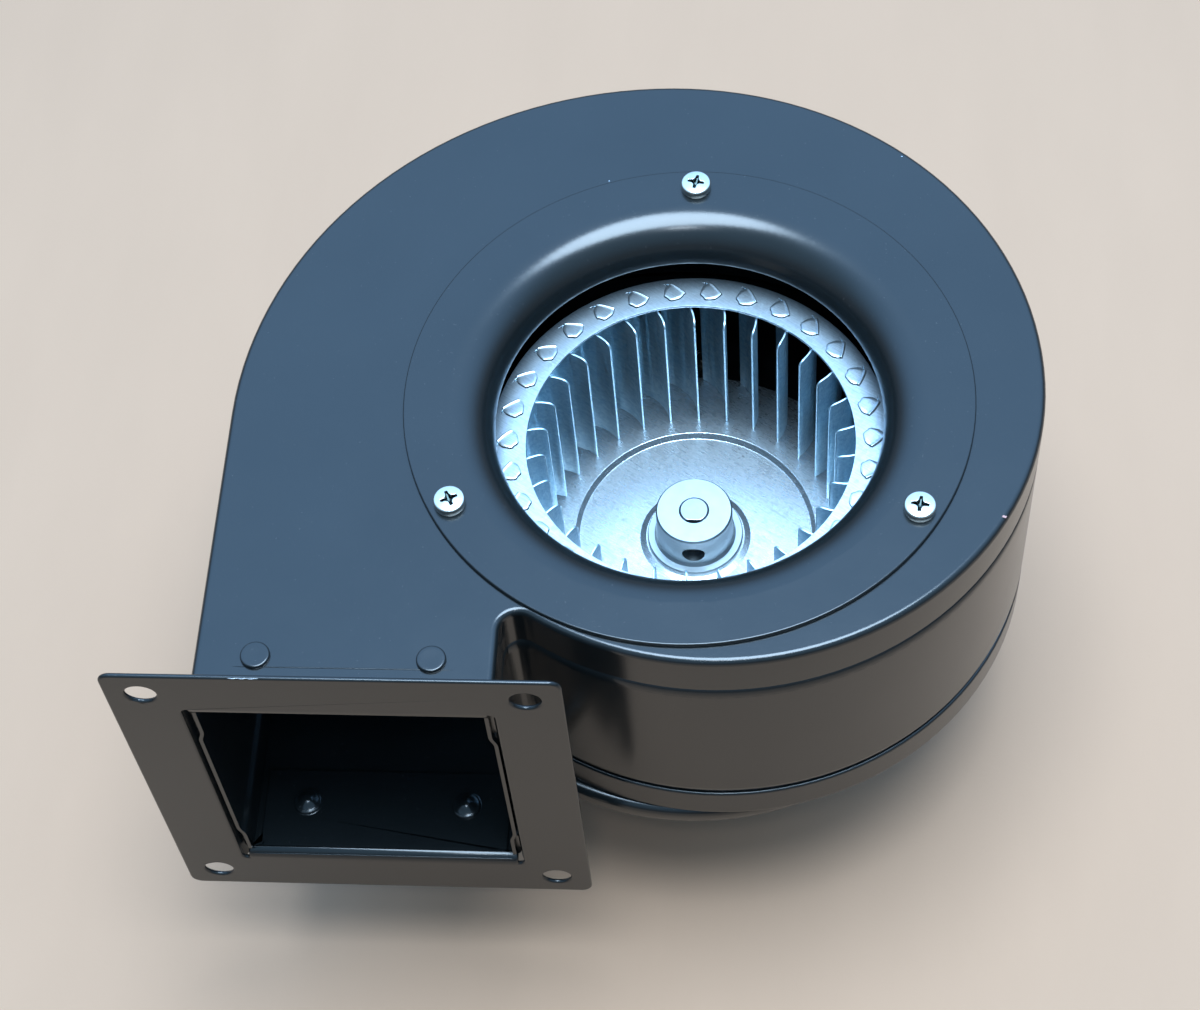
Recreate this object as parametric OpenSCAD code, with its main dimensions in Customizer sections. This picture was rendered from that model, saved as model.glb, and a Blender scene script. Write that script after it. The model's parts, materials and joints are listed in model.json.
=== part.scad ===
// DC centrifugal blower: folded sheet-metal scroll housing with a square outlet flange and a
// bell-mouth inlet ring, a forward-curved impeller on a brushed permanent-magnet motor.
// Millimetres. +Z is the fan axis, towards the inlet. The outlet faces -Y.
// The origin is on the fan axis, at the motor's rear end face, on which the blower stands.

/* [Scroll housing] */
// Distance from the housing's back face to its front face
scroll_depth = 80; // [76:1:90]
// Thickness of the shell and band sheet
sheet_t = 0.9; // [0.7:0.1:1.2]
// Outer radius of the scroll's first arc, from the tongue to the right-hand side
scroll_r = 79.3; // [78:0.1:82]
// How far the scroll opens from its first arc to its second
opening_x = 14.2; // [12:0.2:16]
// How far the scroll opens from its second arc to its third
opening_y = 11.4; // [10:0.2:13]
// Outer width of the outlet neck
neck_w = 70.42; // [66.42:0.1:72.42]
// Distance from the fan axis to the end of the neck's sheets
neck_reach = 85.7; // [84:0.1:95]
// Radius of the concave tongue between the neck and the scroll
tongue_r = 4.44; // [3.44:0.1:5.94]
// Outer radius of the fold between a shell's face and its skirt
fold_r = 1.6; // [1.2:0.1:2.2]
// Depth of the front shell's skirt
front_skirt = 12.8; // [10:0.2:15]
// Depth of the back shell's skirt
back_skirt = 10.6; // [9:0.2:15]
// Height over which the band steps in to tuck under a skirt
joggle_len = 4.2; // [3:0.2:6]
// Gap between a skirt and the band tucked under it
joggle_gap = 0.1; // [0.05:0.05:0.2]
// Gap between a shell's face and the band's edge
band_edge_gap = 0.8; // [0.4:0.1:2]
// Radius of the hole in the front shell under the inlet ring
front_hole_r = 60.2; // [60:0.1:61]
// Radius of the hole in the back shell over the motor
back_hole_r = 32; // [30:1:40]

/* [Outlet flange] */
// Width of the flange
flange_w = 104.6; // [102:0.2:112]
// Height of the flange
flange_h = 112.8; // [110:0.2:120]
// Thickness of the flange sheet
flange_t = 1.2; // [1:0.1:1.5]
// Radius of the flange's corners
flange_corner_r = 3; // [1:0.5:5]
// Width of the flange's opening
flange_opening_w = 72; // [71:0.2:76]
// Radius of the opening's corners
opening_corner_r = 1.5; // [1:0.1:2]
// Outer radius of the lips' bends
lip_bend_r = 2.65; // [2.2:0.05:3]
// Width of each lip inside the neck
lip_w = 63.4; // [60:0.2:66]
// How far each lip reaches back from the flange's front face
lip_reach = 24; // [22:1:28]
// Distance from the flange holes to the flange's left and right edges
hole_inset_x = 8.6; // [6:0.1:10]
// Distance from the flange holes to the flange's upper and lower edges
hole_inset_z = 8.4; // [6:0.1:9]
// Diameter of the flange holes
flange_hole_d = 7.2; // [5:0.1:8]
// Diameter of the clinched buttons that join the lips to the shells
clinch_d = 6.7; // [5:0.1:7.5]
// Height of the clinched buttons
clinch_h = 0.7; // [0.4:0.1:1]
// Distance between the two buttons of a lip
clinch_dx = 41; // [36:1:46]
// Distance from the fan axis to the row of buttons
clinch_reach = 73.7; // [72:0.1:75]

/* [Inlet ring] */
// Outer radius of the inlet ring
ring_r = 69.5; // [69:0.1:70.5]
// Thickness of the inlet ring
ring_t = 1.1; // [0.9:0.1:1.5]
// Inner radius of the throat
throat_r = 48.8; // [47:0.1:49.4]
// Radius of the bell mouth's roll, on the air side
roll_r = 9.7; // [8:0.1:10]
// Radius of the circle of ring screws
ring_screw_r = 64.1; // [63.5:0.1:65]

/* [Screws] */
// Thread diameter of the housing screws
screw_d = 4; // [3:0.5:4]
// Head diameter of the housing screws
screw_head_d = 7.7; // [6:0.1:8]
// Head height of the housing screws
screw_head_h = 2.6; // [2:0.1:3]
// Length of the housing screws under the head
screw_len = 8; // [7:1:10]
// Length of the screws between the motor plate and the bell, under the head
bell_screw_len = 6; // [5:0.5:8]
// Radial clearance round a screw in its hole
screw_clearance = 0.25; // [0.1:0.05:0.4]
// Depth of the cross recess
recess_depth = 1.6; // [1:0.1:2]
// Diameter of the round press nuts behind the sheets
press_nut_d = 8.4; // [7.5:0.1:9]
// Height of the press nuts
press_nut_h = 3; // [2:0.5:4]

/* [Impeller] */
// Outer radius of the impeller
fan_r = 50; // [46:0.5:50]
// Inner radius of the impeller's front ring
fan_ring_in_r = 41.1; // [40:0.1:42]
// Thickness of the impeller's ring and back plate
fan_sheet_t = 0.8; // [0.6:0.1:1]
// Distance from the housing's front face down to the impeller's front ring
fan_drop = 18.6; // [16:0.1:20]
// Length of the blades between the front ring and the back plate
blade_len = 44.3; // [40:0.1:45]
// Number of blades
blade_count = 30; // [24:1:32]
// Angle at which the first blade's inner edge stands
blade_phase = 89.9; // [84:0.1:96]
// Radius at which the blades begin
blade_in_r = 36.3; // [35:0.1:38]
// Radial reach of the blades' curve
blade_span = 12.1; // [11:0.1:12.3]
// Radius of the blades' curve
blade_curve_r = 13; // [12.8:0.1:16]
// Thickness of the blade sheet
blade_t = 0.5; // [0.4:0.05:0.6]
// Drop of the blades' free inner corner below the front ring
blade_corner_drop = 0.7; // [0.3:0.1:2]
// Rounding of the blades' free inner corner
blade_corner_r = 1.8; // [0.8:0.1:3]
// Distance from the blade's inner edge to where its tab begins
tab_start = 8.4; // [7:0.1:9]
// Radial reach of the tab's root
tab_span = 3; // [2:0.1:3.2]
// How far the folded tab reaches from its root
tab_reach = 3.9; // [3:0.1:4.2]
// Thickness of the folded tab
tab_t = 0.45; // [0.3:0.05:0.6]
// Clearance round a tab in its slot
slot_gap = 0.1; // [0.05:0.05:0.15]
// Radius of the edge of the back plate's recess
recess_r = 31.8; // [30:0.1:33]
// Depth of the back plate's recess
recess_drop = 1.5; // [1:0.1:2.5]
// Radius of the raised seat under the hub
seat_r = 13; // [12.6:0.1:14]
// Height of the raised seat under the hub
seat_rise = 0.6; // [0.3:0.1:1]
// Radius of the hub
hub_r = 10; // [9:0.5:11]
// Radius of the hub's base flange
hub_flange_r = 12.6; // [11.5:0.1:12.9]
// Thickness of the hub's base flange
hub_flange_t = 1.3; // [1:0.1:2]
// Height of the hub above its seat
hub_h = 12.3; // [11:0.1:14]
// Radius of the spigot that is staked through the back plate
spigot_r = 7; // [6:0.5:8]
// How far the spigot reaches below the back plate
spigot_reach = 1.6; // [1:0.1:2.5]
// Radius of the staked collar
stake_r = 8.4; // [8:0.1:9]
// Diameter of the hub's set screw
set_screw_d = 6; // [4:0.5:6]
// Length of the set screw
set_screw_len = 4; // [3:0.5:4.5]
// Height of the set screw above the hub's seat
set_screw_z = 6.2; // [5:0.1:8]

/* [Shaft and bearings] */
// Diameter of the shaft
shaft_d = 8; // [8:0.5:10]
// How far the shaft stands proud of the hub
shaft_proud = 0.4; // [0:0.1:2]
// Depth of the shaft's flat
flat_depth = 0.8; // [0.4:0.1:1]
// Length of the shaft's flat
flat_len = 14; // [12:1:18]
// Outer diameter of the ball bearings
bearing_d = 22; // [22:0.5:24]
// Width of the ball bearings
bearing_w = 7; // [6:0.5:8]
// Thickness of each bearing ring
race_t = 1.7; // [1.5:0.1:2]
// Number of balls in a bearing
ball_count = 7; // [6:1:8]
// Radial running clearance of the balls and shields
bearing_clearance = 0.05; // [0.02:0.01:0.1]
// Thickness of the bearing shields
shield_t = 0.4; // [0.3:0.1:0.6]

/* [Motor] */
// Height of the housing's back face above the motor's rear end
motor_height = 56; // [54:1:70]
// Radius of the plate that carries the motor
motor_plate_r = 73.5; // [70:0.5:74]
// Thickness of the motor plate
motor_plate_t = 1.5; // [1.2:0.1:2]
// Distance from the motor plate's edge to the circle of its screws
plate_screw_inset = 9.4; // [8:0.1:10]
// Depth of the motor plate's turned rim
motor_plate_rim = 5; // [4:0.5:8]
// Outer radius of the motor plate's rim fold
motor_plate_fold = 2.2; // [2:0.1:3]
// Radius of the motor's can
can_r = 33; // [32:0.5:38]
// Wall thickness of the can
can_t = 2; // [1.5:0.1:2.5]
// Thickness of the can's end wall
can_floor_t = 2.2; // [2:0.1:3]
// Rounding of the can's rear edge
can_edge_r = 2.5; // [2.1:0.1:4]
// Radius of the wall round each bearing
bearing_wall_r = 13.5; // [13:0.1:14]
// Thickness of the front end bell
bell_t = 5; // [4:0.5:6]
// Depth of the bell's register inside the can
register_h = 2; // [1.5:0.5:3]
// Height of the bearing boss above the bell
boss_h = 4; // [3:0.5:6]
// Length of the armature's lamination stack
stack_len = 18; // [14:1:19]
// Radius of the armature
armature_r = 25.4; // [24:0.1:25.6]
// Number of armature slots
slot_count = 12; // [8:1:14]
// Gap between the armature and the magnets
air_gap = 0.6; // [0.4:0.1:0.8]
// Angle covered by each magnet
magnet_angle = 132; // [110:2:140]
// Height of the armature stack above the motor's rear end
stack_z = 26; // [25:0.5:27]
// Height of the coil ends beyond the stack
coil_end = 3; // [2:0.5:3.5]
// Radius of the commutator
commutator_r = 10; // [8:0.5:11]
// Length of the commutator's bars
commutator_len = 9.5; // [8:0.5:10]
// Height of the commutator above the motor's rear end
commutator_z = 12.2; // [12:0.1:13]
// Thickness of the brush card
brush_card_t = 1.6; // [1.2:0.1:2]
// Width of each brush
brush_w = 5; // [4:0.5:7]
// Height of each brush
brush_h = 6.4; // [5:0.2:6.8]
// Length of each brush
brush_len = 12; // [9:0.5:13]
// Wall thickness of the brush holders
holder_t = 0.7; // [0.5:0.1:1]
// Length of the brush holders
holder_len = 16.5; // [15:0.5:17]
// Mean radius of the brush springs
spring_r = 1.7; // [1.4:0.1:2]
// Radius of the springs' wire
spring_wire_r = 0.25; // [0.2:0.05:0.4]
// Distance from the fan axis to the bell screws
bell_screw_r = 22; // [20:0.5:24]
// Distance from the fan axis to the motor's tie screws
tie_screw_r = 28.6; // [28:0.1:29]
// Thread diameter of the motor's tie screws
tie_screw_d = 3; // [2.5:0.5:3]
// Diameter of the tie screws' countersunk heads
tie_head_d = 5.5; // [5:0.1:6]
// Diameter of the lead grommet's cable hole
lead_hole_d = 5; // [4:0.5:6]
// Diameter of the grommet's flanges
grommet_d = 12; // [10:0.5:13]
// Height of the grommet above the motor's rear end
grommet_z = 17; // [16.5:0.5:18]

/* [Hidden] */
$fn = 96;
eps = 0.01;
// Overlap between a shell's swept edge and its face.
face_lap = 0.5;
// Reach of the half-space that trims swept pieces, and the angle by which they overrun it
trim = 250;
over = 5;

// Scroll: three arcs about points round the fan axis, then the straight neck.
cx = opening_x / 2;
cy = opening_y / 2;
r_first = scroll_r;
r_second = r_first + opening_x;
r_third = r_second + opening_y;
neck_left = -cx - r_third;
neck_right = neck_left + neck_w;
neck_x = (neck_left + neck_right) / 2;
hole_dx = flange_w - 2 * hole_inset_x;
hole_dz = flange_h - 2 * hole_inset_z;
plate_screw_r = motor_plate_r - plate_screw_inset;
// The tongue's centre: outside the neck's wall and outside the first arc by its own radius.
tongue_x = neck_right + tongue_r;
tongue_y = cy - sqrt(pow(r_first + tongue_r, 2) - pow(cx - tongue_x, 2));
tongue_angle = atan2(cy - tongue_y, cx - tongue_x);

// Levels along the fan axis.
z_back = motor_height;
z_front = z_back + scroll_depth;
z_mid = (z_back + z_front) / 2;
z_ring_top = z_front - fan_drop;
z_ring = z_ring_top - fan_sheet_t;
z_plate = z_ring - blade_len;
z_disc = z_plate - recess_drop;
z_seat = z_disc + seat_rise;
z_hub_top = z_seat + hub_h;
z_shaft_top = z_hub_top + shaft_proud;
screw_hole_d = screw_d + 2 * screw_clearance;
z_motor_plate = z_back - motor_plate_t;
z_bell = z_motor_plate - bell_t;
z_boss_top = z_motor_plate + boss_h;
z_rear_bearing = can_floor_t;
z_front_bearing = z_boss_top - 1.2 - bearing_w;
z_shaft_bottom = can_floor_t + 0.6;
z_card = can_floor_t + bearing_w;
z_brush = commutator_z + commutator_len / 2;

// Flange: a folded frame with a lip inside the neck at the front and back faces.
flange_front_y = -(neck_reach + lip_bend_r);
flange_back_y = flange_front_y + flange_t;
lip_inset = sheet_t + flange_t;
opening_half_h = scroll_depth / 2 - lip_inset + lip_bend_r;

screw_angles = [90, 210, 330];
bell_screw_angles = [30, 150, 270];
tie_screw_angles = [0, 180];
brush_angles = [45, 225];
blade_pitch = 360 / blade_count;
race_gap_r = bearing_d / 2 - race_t;
inner_race_r = shaft_d / 2 + race_t;
ball_r = (race_gap_r - inner_race_r) / 2 - bearing_clearance;
can_in_r = can_r - can_t;
magnet_in_r = armature_r + air_gap;
holder_in_r = commutator_r + 2;

BLACK = [0.10, 0.11, 0.13];
ZINC = [0.72, 0.78, 0.82];
STEEL = [0.62, 0.64, 0.66];

// ---- Scroll outline ---------------------------------------------------------------------

// Half-space behind the x axis, which trims what is swept a little too far.
module behind() {
    translate([-trim, -2 * trim, -trim]) cube(2 * trim);
}

// Sweeps a profile round the outline: its x is the distance outside the outline, its y is height.
module along_scroll(reach) {
    sweep = 180 - tongue_angle;
    translate([-cx, cy])
        rotate_extrude(angle = 90, $fn = 180) translate([r_second, 0]) children();
    translate([-cx, -cy]) rotate(90)
        rotate_extrude(angle = 90, $fn = 180) translate([r_third, 0]) children();
    translate([neck_left, -cy, 0]) rotate([90, 0, 0])
        linear_extrude(reach - cy) mirror([1, 0]) children();
    intersection() {
        translate([cx, cy]) mirror([0, 1, 0])
            rotate_extrude(angle = sweep + over, $fn = 180) translate([r_first, 0]) children();
        translate([cx, cy]) rotate(-sweep) mirror([0, 1, 0]) behind();
    }
    intersection() {
        translate([tongue_x, tongue_y]) rotate(180) mirror([0, 1, 0])
            rotate_extrude(angle = sweep + over, $fn = 48)
                translate([tongue_r, 0]) mirror([1, 0]) children();
        translate([cx, cy]) rotate(-sweep) behind();
    }
    translate([neck_right, tongue_y, 0]) rotate([90, 0, 0])
        linear_extrude(reach + tongue_y) children();
}

// Section of a shell's edge at height 0: face, fold and skirt, with the face upwards.
module shell_edge_2d(skirt) {
    translate([-fold_r, -fold_r]) intersection() {
        difference() {
            circle(fold_r, $fn = 48);
            circle(fold_r - sheet_t, $fn = 48);
        }
        square(fold_r);
    }
    translate([-sheet_t, -skirt]) square([sheet_t, skirt - fold_r]);
    translate([-fold_r - 2 * face_lap, -sheet_t]) square([2 * face_lap, sheet_t]);
}

// Points along an arc, a half step in from both its ends.
function arc(c, r, from, to, n) = [
    for (i = [0:n - 1]) let (a = from + (to - from) * (i + 0.5) / n) c + r * [cos(a), sin(a)]
];

// One folded shell: face, fold and skirt, with the face's outer side at height 0.
module shell(skirt) {
    inset = fold_r + face_lap;
    along_scroll(neck_reach) shell_edge_2d(skirt);
    translate([0, 0, -sheet_t]) linear_extrude(sheet_t) polygon(concat(
        arc([cx, cy], r_first - inset, tongue_angle - 180, 0, 23),
        arc([-cx, cy], r_second - inset, 0, 90, 19),
        arc([-cx, -cy], r_third - inset, 90, 180, 19),
        [[neck_left + inset, -neck_reach], [neck_right - inset, -neck_reach]],
        arc([tongue_x, tongue_y], tongue_r + inset, 180, tongue_angle, 9)));
}

// ---- Housing ----------------------------------------------------------------------------

module clinch_button(h) {
    cylinder(h = h, r1 = clinch_d / 2, r2 = clinch_d / 2 - h / 2);
}

module clinch_pair(h) {
    for (side = [-1, 1])
        translate([neck_x + side * clinch_dx / 2, -clinch_reach, 0]) clinch_button(h);
}

module at_angles(angles, r) {
    for (a = angles) rotate(a) translate([r, 0, 0]) children();
}

module front_shell() {
    color(BLACK) difference() {
        union() {
            translate([0, 0, z_front]) shell(front_skirt);
            translate([0, 0, z_front - eps]) clinch_pair(clinch_h + eps);
        }
        translate([0, 0, z_front - 2 * sheet_t])
            cylinder(h = 3 * sheet_t, r = front_hole_r, $fn = 180);
        at_angles(screw_angles, ring_screw_r)
            translate([0, 0, z_front - 2 * sheet_t]) cylinder(h = 3 * sheet_t, d = screw_hole_d);
    }
}

module back_shell() {
    color(BLACK) difference() {
        translate([0, 0, z_back]) mirror([0, 0, 1]) shell(back_skirt);
        translate([0, 0, z_back - sheet_t])
            cylinder(h = 3 * sheet_t, r = back_hole_r, $fn = 180);
        at_angles(screw_angles, plate_screw_r)
            translate([0, 0, z_back - sheet_t]) cylinder(h = 3 * sheet_t, d = screw_hole_d);
    }
}

// The band's outer face, from the back edge to the front edge, stepped in under both skirts.
function band_face() =
    let (
        tuck = sheet_t + joggle_gap,
        steps = 4,
        low = z_back + back_skirt,
        high = z_front - front_skirt
    )
    concat(
        [[-tuck, z_back + sheet_t + band_edge_gap]],
        [for (i = [0:steps]) [-tuck * (1 + cos(180 * i / steps)) / 2, low + joggle_len * i / steps]],
        [for (i = [0:steps]) [-tuck * (1 - cos(180 * i / steps)) / 2, high - joggle_len * (1 - i / steps)]],
        [[-tuck, z_front - sheet_t - band_edge_gap]]
    );

// The band stands against the flange's back face, and is notched round the bends of the lips.
module scroll_band() {
    face = band_face();
    inner = [for (i = [len(face) - 1:-1:0]) [face[i][0] - sheet_t, face[i][1]]];
    notch_z = scroll_depth / 2 - lip_inset - 0.5;
    color(BLACK) difference() {
        along_scroll(-flange_back_y) polygon(concat(face, inner));
        for (side = [-1, 1])
            translate([neck_x, -neck_reach, z_mid + side * (notch_z + scroll_depth / 2)])
                cube([2 * neck_w, 6, scroll_depth], center = true);
    }
}

// ---- Outlet flange ----------------------------------------------------------------------

module rounded_rect(w, h, r) {
    square([w - 2 * r, h], center = true);
    square([w, h - 2 * r], center = true);
    for (x = [-1, 1], y = [-1, 1]) translate([x * (w / 2 - r), y * (h / 2 - r)]) circle(r, $fn = 32);
}

// Section of the front lip: y is measured back from the flange's front face, z from mid-height.
module lip_bend_2d() {
    intersection() {
        translate([lip_bend_r, opening_half_h]) difference() {
            circle(lip_bend_r, $fn = 64);
            circle(lip_bend_r - flange_t, $fn = 64);
        }
        translate([0, opening_half_h - lip_bend_r]) square(lip_bend_r);
    }
}

module lip() {
    rotate([90, 0, 90]) {
        linear_extrude(flange_opening_w - 2 * opening_corner_r, center = true) lip_bend_2d();
        linear_extrude(lip_w, center = true)
            translate([lip_bend_r - eps, opening_half_h - lip_bend_r])
                square([lip_reach - lip_bend_r + eps, flange_t]);
    }
}

module outlet_flange() {
    color(BLACK) translate([neck_x, 0, z_mid]) {
        difference() {
            translate([0, flange_back_y, 0]) rotate([90, 0, 0]) linear_extrude(flange_t) difference() {
                rounded_rect(flange_w, flange_h, flange_corner_r);
                rounded_rect(flange_opening_w, 2 * opening_half_h, opening_corner_r);
            }
            for (x = [-1, 1], z = [-1, 1])
                translate([x * hole_dx / 2, flange_back_y + flange_t, z * hole_dz / 2])
                    rotate([90, 0, 0]) cylinder(h = 3 * flange_t, d = flange_hole_d);
        }
        translate([0, flange_front_y, 0]) lip();
        translate([0, flange_front_y, 0]) mirror([0, 0, 1]) lip();
        translate([-neck_x, 0, -scroll_depth / 2 + lip_inset - eps]) clinch_pair(clinch_h + eps);
    }
}

// ---- Inlet ring and its screws -----------------------------------------------------------

// Section of the ring: a flat outside, rolled down into the throat.
module inlet_ring_2d() {
    roll_x = throat_r + roll_r;
    intersection() {
        translate([roll_x, ring_t - roll_r - ring_t]) difference() {
            circle(roll_r + ring_t, $fn = 96);
            circle(roll_r, $fn = 96);
        }
        translate([throat_r - ring_t - 1, -roll_r]) square([roll_r + ring_t + 1, roll_r + 2 * ring_t]);
    }
    translate([roll_x - eps, 0]) square([ring_r - roll_x + eps, ring_t]);
}

module inlet_ring() {
    color(BLACK) translate([0, 0, z_front]) difference() {
        rotate_extrude($fn = 180) inlet_ring_2d();
        at_angles(screw_angles, ring_screw_r)
            translate([0, 0, -1]) cylinder(h = ring_t + 2, d = screw_hole_d);
    }
}

// A pan-head screw with a cross recess, with the underside of its head at height 0.
module pan_screw(d, head_d, head_h, length) {
    dome_r = (pow(head_d / 2, 2) + pow(head_h, 2)) / (2 * head_h) + 1.2;
    difference() {
        union() {
            translate([0, 0, -length]) cylinder(h = length + eps, d = d, $fn = 48);
            intersection() {
                cylinder(h = head_h, d = head_d, $fn = 64);
                translate([0, 0, head_h - dome_r]) sphere(dome_r, $fn = 96);
            }
        }
        for (a = [0, 90]) rotate(a)
            translate([-head_d * 0.27, -head_d * 0.055, head_h - recess_depth])
                cube([head_d * 0.54, head_d * 0.11, recess_depth + 1]);
        translate([0, 0, head_h - recess_depth])
            cylinder(h = recess_depth + 1, d = head_d * 0.19, $fn = 32);
    }
}

module press_nut() {
    difference() {
        cylinder(h = press_nut_h, d = press_nut_d, $fn = 48);
        translate([0, 0, -1]) cylinder(h = press_nut_h + 2, d = screw_d + 0.1, $fn = 48);
    }
}

module inlet_screws() {
    color(ZINC) at_angles(screw_angles, ring_screw_r)
        translate([0, 0, z_front + ring_t]) rotate(20)
            pan_screw(screw_d, screw_head_d, screw_head_h, screw_len);
}

module inlet_nuts() {
    color(ZINC) at_angles(screw_angles, ring_screw_r)
        translate([0, 0, z_front - sheet_t - press_nut_h]) press_nut();
}

// ---- Impeller ---------------------------------------------------------------------------

// The blade's curve seen along the fan axis, between two radial distances from its inner edge.
module blade_2d(from, to, grow) {
    intersection() {
        translate([blade_in_r, blade_curve_r]) difference() {
            circle(blade_curve_r + grow, $fn = 128);
            circle(blade_curve_r - blade_t - grow, $fn = 128);
        }
        translate([blade_in_r + from, -1]) square([to - from, blade_curve_r + 1]);
    }
}

// Distance of the blade's curve from its radial line, at a distance from its inner edge.
function blade_rise(s) = blade_curve_r - sqrt(pow(blade_curve_r, 2) - pow(s, 2));

// A tab folded down flat beside its slot, towards the hollow side of the blade.
module tab() {
    root = [blade_in_r + tab_start, blade_rise(tab_start)];
    tip = [blade_in_r + tab_start + tab_span, blade_rise(tab_start + tab_span)];
    w = norm(tip - root);
    angle = atan2(tip[1] - root[1], tip[0] - root[0]);
    translate(root) rotate(angle) linear_extrude(tab_t) polygon([
        [0, 0],
        [w, 0],
        [w * 1.05, tab_reach * 0.42],
        [w * 0.7, tab_reach],
        [w * 0.3, tab_reach],
        [-w * 0.05, tab_reach * 0.42]
    ]);
}

// Side view of the blade between the ring and the back plate, with its free corner rounded.
module blade_side_2d() {
    inner_top = z_ring - blade_corner_drop;
    ring_edge = fan_ring_in_r - blade_in_r + 0.6;
    translate([-1, z_plate]) square([1 + blade_corner_r, inner_top - blade_corner_r - z_plate]);
    translate([blade_corner_r, inner_top - blade_corner_r]) circle(blade_corner_r, $fn = 48);
    translate([blade_corner_r, z_plate]) square([blade_span, inner_top - z_plate]);
    translate([ring_edge, z_plate]) square([blade_span, z_ring - z_plate]);
}

module blade() {
    intersection() {
        translate([0, 0, z_plate]) linear_extrude(blade_len) blade_2d(0, blade_span, 0);
        translate([blade_in_r, fan_r, 0]) rotate([90, 0, 0])
            linear_extrude(2 * fan_r) blade_side_2d();
    }
    translate([0, 0, z_ring - eps])
        linear_extrude(fan_sheet_t + tab_t + eps) blade_2d(tab_start, tab_start + tab_span, 0);
    translate([0, 0, z_plate - fan_sheet_t - tab_t])
        linear_extrude(fan_sheet_t + tab_t + eps) blade_2d(tab_start, tab_start + tab_span, 0);
    translate([0, 0, z_ring_top]) tab();
    translate([0, 0, z_plate - fan_sheet_t - tab_t]) tab();
}

module each_blade() {
    for (i = [0:blade_count - 1]) rotate(blade_phase + i * blade_pitch) children();
}

module tab_slots() {
    each_blade() linear_extrude(fan_sheet_t + 2)
        blade_2d(tab_start - slot_gap, tab_start + tab_span + slot_gap, slot_gap);
}

module blades() {
    color(ZINC) each_blade() blade();
}

module fan_ring() {
    color(ZINC) difference() {
        translate([0, 0, z_ring]) difference() {
            cylinder(h = fan_sheet_t, r = fan_r, $fn = 180);
            translate([0, 0, -1]) cylinder(h = fan_sheet_t + 2, r = fan_ring_in_r, $fn = 180);
        }
        translate([0, 0, z_ring - 1]) tab_slots();
    }
}

// The back plate: a flat rim for the blades, a recess, and a raised seat for the hub.
module fan_plate() {
    top = [
        [spigot_r, z_seat],
        [seat_r, z_seat],
        [seat_r + 1.6, z_disc],
        [recess_r - 1, z_disc],
        [recess_r, z_plate],
        [fan_r, z_plate]
    ];
    bottom = [for (i = [len(top) - 1:-1:0]) [top[i][0], top[i][1] - fan_sheet_t]];
    color(ZINC) difference() {
        rotate_extrude($fn = 180) polygon(concat(top, bottom));
        translate([0, 0, z_plate - fan_sheet_t - 1]) tab_slots();
    }
}

module fan_hub() {
    spigot_z = z_seat - fan_sheet_t - spigot_reach;
    color(ZINC) difference() {
        union() {
            rotate_extrude($fn = 128) polygon([
                [0, z_seat],
                [hub_flange_r, z_seat],
                [hub_flange_r, z_seat + hub_flange_t * 0.8],
                [hub_flange_r - 0.3, z_seat + hub_flange_t],
                [hub_r + 0.7, z_seat + hub_flange_t],
                [hub_r, z_seat + hub_flange_t + 0.7],
                [hub_r, z_hub_top - 0.4],
                [hub_r - 0.4, z_hub_top],
                [0, z_hub_top]
            ]);
            translate([0, 0, spigot_z]) cylinder(h = z_seat - spigot_z + eps, r = spigot_r);
            translate([0, 0, spigot_z]) cylinder(h = spigot_reach, r1 = stake_r - 0.6, r2 = stake_r);
        }
        translate([0, 0, spigot_z - 1]) cylinder(h = z_hub_top - spigot_z + 2, d = shaft_d);
        translate([0, 0, z_seat + set_screw_z]) rotate([90, 0, 0])
            cylinder(h = hub_r + 1, d = set_screw_d, $fn = 48);
    }
}

module set_screw() {
    tip_y = shaft_d / 2 - flat_depth;
    color([0.18, 0.18, 0.2]) translate([0, -tip_y, z_seat + set_screw_z]) rotate([90, 0, 0])
        difference() {
            union() {
                cylinder(h = 0.7, d1 = set_screw_d - 1.6, d2 = set_screw_d - 0.2, $fn = 48);
                translate([0, 0, 0.7 - eps])
                    cylinder(h = set_screw_len - 0.7 + eps, d = set_screw_d - 0.1, $fn = 48);
            }
            translate([0, 0, set_screw_len - 2]) cylinder(h = 3, d = set_screw_d * 0.58, $fn = 6);
        }
}

// ---- Shaft and bearings -----------------------------------------------------------------

module shaft() {
    color(STEEL) difference() {
        union() {
            translate([0, 0, z_shaft_bottom + 0.5])
                cylinder(h = z_shaft_top - z_shaft_bottom - 1, d = shaft_d);
            translate([0, 0, z_shaft_bottom]) cylinder(h = 0.5 + eps, d1 = shaft_d - 1, d2 = shaft_d);
            translate([0, 0, z_shaft_top - 0.5 - eps])
                cylinder(h = 0.5 + eps, d1 = shaft_d, d2 = shaft_d - 1);
        }
        translate([-shaft_d, -shaft_d - shaft_d / 2 + flat_depth, z_shaft_top - flat_len])
            cube([2 * shaft_d, shaft_d, flat_len + 1]);
    }
}

module at_bearings() {
    for (z = [z_rear_bearing, z_front_bearing]) translate([0, 0, z]) children();
}

module bearing_outer_rings() {
    color(STEEL) at_bearings() difference() {
        cylinder(h = bearing_w, d = bearing_d);
        translate([0, 0, shield_t]) cylinder(h = bearing_w - 2 * shield_t, r = race_gap_r);
        translate([0, 0, -1]) cylinder(h = bearing_w + 2, r = inner_race_r + bearing_clearance);
    }
}

module bearing_inner_rings() {
    color(STEEL) at_bearings() difference() {
        cylinder(h = bearing_w, r = inner_race_r);
        translate([0, 0, -1]) cylinder(h = bearing_w + 2, d = shaft_d);
    }
}

module bearing_balls() {
    color(STEEL) at_bearings() for (i = [0:ball_count - 1])
        rotate(i * 360 / ball_count) translate([(race_gap_r + inner_race_r) / 2, 0, bearing_w / 2])
            sphere(ball_r, $fn = 32);
}

// ---- Motor ------------------------------------------------------------------------------

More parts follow.
